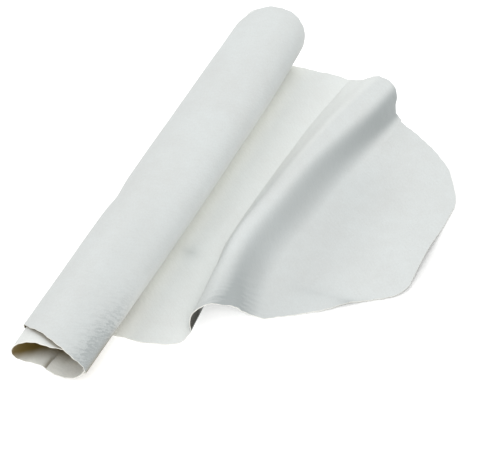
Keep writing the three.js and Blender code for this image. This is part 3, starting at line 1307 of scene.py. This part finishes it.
@dataclass
class FoldedHide(HideSheet):
    """The free end of the hide: the raised fold and the far flap."""

    tones: FoldTones = FoldTones()
    waves: FoldWaves = FoldWaves()
    name: ClassVar[str] = "folded_hide"

    def build(self) -> bpy.types.Object:
        """Makes the sheet.

        Returns:
            The finished sheet.
        """
        hide, tones = self.hide, self.tones
        middle = self.middle_surface()
        normal = self.normals(middle)
        measures = self.measures(middle, normal)
        relief = add_up(tones.forms, measures) * tones.clear_of_seam(measures)
        middle = middle + normal * relief[..., None]
        normal = self.normals(middle)
        half = normal * hide.thickness / 2
        upper = self.layout.to_frame(middle + half)
        lower = self.layout.to_frame(middle - half)
        mesh = closed_sheet(self.name, upper, lower, Seam.FIRST_COLUMN)
        x, y, _ = np.moveaxis(middle, -1, 0)
        steps = np.linalg.norm(np.diff(middle[..., [0, 2]], axis=0), axis=-1)
        across = x[0] + np.concatenate([np.zeros((1, hide.rows + 1)), np.cumsum(steps, axis=0)])
        store_flat_place(mesh, across, y, hide.lower_side_depth)

        nothing = np.zeros(x.shape)
        measures = self.measures(middle, normal)
        # Painted light beside the seam and on slopes that face left.
        pale = np.maximum(tones.beside_seam(measures), tones.left_slope_painted_light * tones.left_slope(measures))
        nap = {
            "painted_light_share": (hide.seam_painted_light * pale, nothing),
            # Painted shade on the fold's right slopes, beyond them and in its creases.
            "painted_shade_share": (self.painted_shade_on_fold(measures, normal), nothing),
            "shelter": (nothing, nothing + hide.underside_painted_shade),
            # Near-black painted shade inside the fold's left wall.
            "gloom": (nothing, tones.in_tunnel(measures)),
            "grain": (nothing + hide.grain, nothing + hide.grain),
        }
        for label, sides in nap.items():
            store(mesh, label, *sides)
        mesh.materials.append(self.finish)
        return self.show_smooth(mesh)

    def measures(self, middle: np.ndarray, normal: np.ndarray) -> Measures:
        """Gives what the patches go by.

        Args:
            middle: the middle of the leather.
            normal: its unit normals.

        Returns:
            Each measure at each point, by name.
        """
        x, y, z = np.moveaxis(middle, -1, 0)
        from_front = y - y[:, :1]
        return {
            "x": x,
            "y": y,
            "z": z,
            "far_x": x - self.layout.far_line,
            "from_seam": x - x[0],
            "off_seam": np.abs(x - x[0]),
            "depth": from_front,
            "back_depth": y[:, -1:] - y,
            "to_left": -normal[..., 0],
            "mark": self.hide.mark(y, x),
            "swell": self.waves.swell(x, y),
            "puckers": self.waves.puckers(x, from_front),
            "streaks": self.waves.streaks(x, y),
        }

    def painted_shade_on_fold(self, measures: Measures, normal: np.ndarray) -> np.ndarray:
        """Gives the painted shade on the fold: slopes that face right are painted darker.

        Args:
            measures: what the patches go by at each point.
            normal: the leather's unit normals.

        Returns:
            The share of painted shade at each point: slopes to the right, a little beyond them, and the
                darker patches.
        """
        tones = self.tones
        x, y = measures["x"], measures["y"]
        near_front = tones.front_y(y)
        at_back = tones.back_y(y)
        _, foot, crest, _ = self.feet_and_crest(y)
        low = tones.foot_share((x - crest) / (foot - crest))
        fading = tones.away_painted_shade + tones.away_back_painted_shade * at_back
        fading = fading * (1 - near_front * (tones.front_loss + tones.front_foot_loss * low))
        tilt = np.degrees(np.arctan2(normal[..., 0], normal[..., 2]))
        turned = tilt + tones.front_turn * near_front - tones.back_turn * at_back
        beyond = tones.beyond(measures) * tones.beyond_end(measures["far_x"])
        return np.maximum(fading * tones.away_tilt(turned), beyond) + add_up(tones.darker, measures)

    def middle_surface(self) -> np.ndarray:
        """Lays the middle of the leather over the fold and out to the far edge.

        Returns:
            The points, as columns by rows by three.
        """
        hide, flap = self.hide, self.flap
        left = np.linspace(0, 0.5, flap.side_columns + 1)
        right = np.linspace(0.5, 1, flap.side_columns + 1)[1:]
        toe = np.linspace(1, 1 + flap.toe_span, flap.toe_columns + 1)[1:]
        far = np.linspace(0, 1, flap.far_columns + 1)[1:]
        over = np.concatenate([left, right, toe])
        reach = self.layout.lift_line * (1 + flap.near_reach)
        fold_y = flap.fold_edges.rows(hide, over, reach + flap.fold_span * over)
        far_y = flap.far_edges.rows(hide, far, reach + flap.fold_span * (1 + flap.toe_span + far))
        points = [
            self.side(flap.left_side, left * 2, fold_y[: len(left)]),
            self.side(flap.right_side, 2 - right * 2, fold_y[len(left) : len(left) + len(right)]),
            self.toe(toe, fold_y[-len(toe) :]),
            self.far_flap(far, far_y),
        ]
        return np.concatenate(points)

    def feet_and_crest(self, y: np.ndarray) -> tuple[np.ndarray, np.ndarray, np.ndarray, np.ndarray]:
        """Gives the fold's main lines.

        Args:
            y: where along the roll they are wanted.

        Returns:
            X of the left foot, of the right foot and of the crest, and the crest's height.
        """
        hide, flap = self.hide, self.flap
        share = hide.share_along(y)
        left = self.layout.lift_line + flap.near_width(share)
        right = self.layout.far_line - flap.toe_width(share)
        crest = left + (right - left) * flap.crest_share(share)
        height = hide.floor_level + flap.fold_height - hide.thickness - flap.crest_drop(share)
        return left, right, crest, height

    def side(self, form: FoldSide, t: np.ndarray, y: np.ndarray) -> np.ndarray:
        """Gives one side of the fold as a curve from its foot to its crest.

        Args:
            form: the side.
            t: each column's share of the way up.
            y: the rows, as columns by rows.

        Returns:
            The points.
        """
        share = self.hide.share_along(y)
        left, right, crest, height = self.feet_and_crest(y)
        foot = left if form is self.flap.left_side else right
        floor = self.hide.floor_level
        run = crest - foot
        rise = height - floor
        angle = np.radians(form.slope(share))
        out = np.sign(run) * np.cos(angle)
        up = np.sin(angle)
        reach = form.foot_hold(share) * np.hypot(run * out, rise * up)
        t = t[:, None]
        s = 1 - t
        weights = [s**3, 3 * s * s * t, 3 * s * t * t, t**3]
        across = [foot, foot + reach * out, crest - form.crest_hold(share) * run, crest]
        heights = [floor + 0 * y, floor + reach * up, height, height]
        x = sum(weight * place for weight, place in zip(weights, across))
        z = sum(weight * place for weight, place in zip(weights, heights))
        return np.stack([x, y, z], -1)

    def toe(self, places: np.ndarray, y: np.ndarray) -> np.ndarray:
        """Lays the flat strip between the fold's right foot and the far line.

        Args:
            places: the columns' places, which start at 1 at the right foot.
            y: the rows, as columns by rows.

        Returns:
            The points.
        """
        _, right, _, _ = self.feet_and_crest(y)
        way = ((places - 1) / self.flap.toe_span)[:, None]
        x = right + (self.layout.far_line - right) * way
        return np.stack([x, y, np.full_like(y, self.hide.floor_level)], -1)

    def far_flap(self, shares: np.ndarray, y: np.ndarray) -> np.ndarray:
        """Lays the far flap, with the stretch of its far edge that stands off the surface.

        Args:
            shares: each column's share of the way to the far edge.
            y: the rows, as columns by rows.

        Returns:
            The points.
        """
        flap = self.flap
        edge = self.layout.far_edge
        x = self.layout.far_line + flap.far_flap_width * shares[:, None] + 0 * y
        off_middle = np.clip((y - flap.edge_lift_middle) / flap.edge_lift_reach, -1, 1)
        along_edge = np.cos(off_middle * np.pi / 2) ** 2
        lift = flap.edge_lift * along_edge * Rise(edge - flap.edge_lift_width, edge)(x)
        return np.stack([x, y, self.hide.floor_level + lift], -1)

    def normals(self, points: np.ndarray) -> np.ndarray:
        """Works out the normals of a grid, which are upright along the seam.

        Args:
            points: the grid, as columns by rows by three.

        Returns:
            The unit normal at each point.
        """
        across = np.gradient(points, axis=0)
        along = np.gradient(points, axis=1)
        normal = np.cross(across, along)
        normal[0] = (0, 0, 1)
        return normal / np.linalg.norm(normal, axis=-1, keepdims=True)

    def dress(self, piece: bpy.types.Object, fringe: bpy.types.Object) -> None:
        """Bakes the placing of the sheet and its fringe into their meshes, hides the CAD parts that they
        stand for and measures the sheet spread flat.

        Args:
            piece: the sheet.
            fringe: its loose fibres.
        """
        ends = self.bend_ends(self.layout.far_line)
        for part in (piece, fringe):
            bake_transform(part)
        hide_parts("raised_fold", "far_flap")
        flat_size(piece)


def flat_size(piece: bpy.types.Object) -> tuple[float, float]:
    """Measures a sheet as if it were spread flat.

    Args:
        piece: the sheet.

    Returns:
        Its width along the roll and its length across it, in metres.
    """
    places = np.empty(3 * len(piece.data.vertices), np.float32)
    piece.data.attributes["flat_place"].data.foreach_get("vector", places)
    across, along, _ = np.ptp(places.reshape(-1, 3), axis=0)
    return round(float(along), 3), round(float(across), 3)


@dataclass
class EdgeFringe:
    """Loose fibres that stand out from the cut edges of the leather."""

    finish: bpy.types.Material
    per_square_mm: float = 1.0
    shortest: float = 0.3
    longest: float = 1.0
    width: float = 0.08
    lean: float = 0.9
    seed: int = 7

    def recipe(self) -> Recipe:
        """Builds the tree that scatters fibres over the cut edges.

        Returns:
            The recipe.
        """
        sizes = ["Density", "Shortest", "Longest", "Width"]
        others = {"Seed": "NodeSocketInt", "Finish": "NodeSocketMaterial"}
        inputs = {**dict.fromkeys(sizes, "NodeSocketFloat"), **others}
        recipe = Recipe("fringe_the_cut_edges", inputs)
        graph = recipe.graph
        scatter = {
            "Mesh": recipe.input("Geometry"),
            "Selection": recipe.stored("cut_edge"),
            "Density": recipe.input("Density"),
            "Seed": recipe.input("Seed"),
        }
        points = graph.node("GeometryNodeDistributePointsOnFaces", {"distribute_method": "RANDOM"}, scatter)
        spread = {0: (-self.lean,) * 3, 1: (self.lean,) * 3, "Seed": recipe.input("Seed")}
        lean = graph.node("FunctionNodeRandomValue", {"data_type": "FLOAT_VECTOR"}, spread)
        way = graph.node("ShaderNodeVectorMath", {"operation": "ADD"}, {0: points.other("Normal"), 1: lean})
        turned = graph.node("FunctionNodeAlignRotationToVector", {"axis": "Z"}, {"Vector": way})
        lengths = {2: recipe.input("Shortest"), 3: recipe.input("Longest"), "Seed": recipe.input("Seed")}
        length = graph.node("FunctionNodeRandomValue", {"data_type": "FLOAT"}, lengths, 1)
        cone = {"Vertices": 3, "Radius Bottom": 0.5, "Depth": 1.0}
        fibre = graph.node("GeometryNodeMeshCone", {"fill_type": "TRIANGLE_FAN"}, cone)
        width = recipe.input("Width")
        scale = graph.node("ShaderNodeCombineXYZ", None, {0: width, 1: width, 2: length})
        placing = {"Points": points, "Instance": fibre, "Rotation": turned, "Scale": scale}
        fibres = graph.node("GeometryNodeInstanceOnPoints", None, placing)
        real = graph.node("GeometryNodeRealizeInstances", None, {"Geometry": fibres})
        x = graph.node("ShaderNodeSeparateXYZ", None, {0: graph.node("GeometryNodeInputPosition")})
        above_table = graph.math("MAXIMUM", x.other("Z"), 0.0)
        place = graph.node("ShaderNodeCombineXYZ", None, {0: x, 1: x.other("Y"), 2: above_table})
        kept = graph.node("GeometryNodeSetPosition", None, {"Geometry": real, "Position": place})
        recipe.close(kept, recipe.input("Finish"))
        return recipe

    def build(self, sheet: bpy.types.Object) -> bpy.types.Object:
        """Grows the fibres on one sheet.

        Args:
            sheet: the sheet of leather.

        Returns:
            The fibres, as one piece.
        """
        values = {
            "Density": self.per_square_mm / MM**2,
            "Shortest": self.shortest * MM,
            "Longest": self.longest * MM,
            "Width": self.width * MM,
            "Seed": self.seed,
            "Finish": self.finish,
        }
        name = sheet.name + "_fringe"
        return show(name, self.recipe().bake(sheet, values, name))


# The table, the light and the camera


@dataclass
class Studio:
    """A pale table under soft lamps, above the back and at the front right, seen as in the photograph."""

    layout: Layout
    table_size: float = 30.0
    table_drop: float = 0.0003
    azimuth: float = 24.54
    elevation: float = 45.0
    distance: float = 2728.0
    aim: Triple = (96.3, 0.0, 20.0)
    focal_pixels: float = 2400.0
    image_width: float = 484.0
    sensor: float = 36.0
    key_place: Triple = (-0.15, 1.25, 1.6)
    key_size: float = 1.4
    key_power: float = 11.0
    fill_place: Triple = (0.4, -1.1, 1.2)
    fill_size: float = 1.0
    fill_power: float = 8.0
    sky: float = 0.87

    def build(self) -> None:
        """Makes the table, the light and the camera."""
        self.build_table()
        self.build_light()
        self.build_camera()

    def build_table(self) -> None:
        """Makes the table top, just under the leather."""
        half = self.table_size / 2
        corners = [(-half, -half), (half, -half), (half, half), (-half, half)]
        mesh = bpy.data.meshes.new("table")
        mesh.from_pydata([(x, y, -self.table_drop) for x, y in corners], [], [(0, 1, 2, 3)])
        mesh.materials.append(TableFinish().material())
        show("table", mesh)

    def build_light(self) -> None:
        """Makes the two broad lamps and the even light of the room."""
        self.build_lamp("key", self.key_place, self.key_size, self.key_power)
        self.build_lamp("fill", self.fill_place, self.fill_size, self.fill_power)
        world = bpy.data.worlds.new("room")
        world.use_nodes = True
        background = world.node_tree.nodes["Background"]
        background.inputs["Color"].default_value = WHITE
        background.inputs["Strength"].default_value = self.sky
        bpy.context.scene.world = world
        bpy.context.scene.view_settings.view_transform = "Standard"

    def build_lamp(self, name: str, place: Triple, size: float, power: float) -> None:
        """Makes one round lamp that faces the hide.

        Args:
            name: the lamp's name.
            place: where it hangs, in metres.
            size: how wide it is, in metres.
            power: its power, in watts.
        """
        light = bpy.data.lights.new(name, "AREA")
        light.shape = "DISK"
        light.size = size
        light.energy = power
        lamp = bpy.data.objects.new(name, light)
        lamp.location = place
        lamp.rotation_mode = "QUATERNION"
        lamp.rotation_quaternion = (-lamp.location).to_track_quat("-Z", "Y")
        bpy.context.scene.collection.objects.link(lamp)

    def build_camera(self) -> None:
        """Makes the camera at the photograph's angle."""
        turn = math.radians(self.azimuth)
        tilt = math.radians(self.elevation)
        back = Vector((math.sin(turn) * math.cos(tilt), -math.cos(turn) * math.cos(tilt), math.sin(tilt)))
        lens = bpy.data.cameras.new("camera")
        lens.sensor_width = self.sensor
        lens.lens = self.focal_pixels / self.image_width * self.sensor
        camera = bpy.data.objects.new("camera", lens)
        camera.location = Vector(self.layout.to_frame(np.array(self.aim))) + back * self.distance * MM
        camera.rotation_mode = "QUATERNION"
        camera.rotation_quaternion = (-back).to_track_quat("-Z", "Y")
        bpy.context.scene.collection.objects.link(camera)
        bpy.context.scene.camera = camera


def main() -> None:
    """Builds the hide piece by piece and sets it in the studio."""
    logging.basicConfig(level=logging.INFO, format="%(message)s")
    layout = Layout()
    Studio(layout).build()
    leather = LeatherFinish("chamois_leather").material()
    fringe_maker = EdgeFringe(leather)
    for sheet in (RolledHide(layout, leather), FoldedHide(layout, leather)):
        piece = sheet.build()
        fringe = fringe_maker.build(piece)
        sheet.dress(piece, fringe)
        for part in (piece, fringe):
            log.info("%s: %d faces", part.name, len(part.data.polygons))


if __name__ == "__main__":
    main()
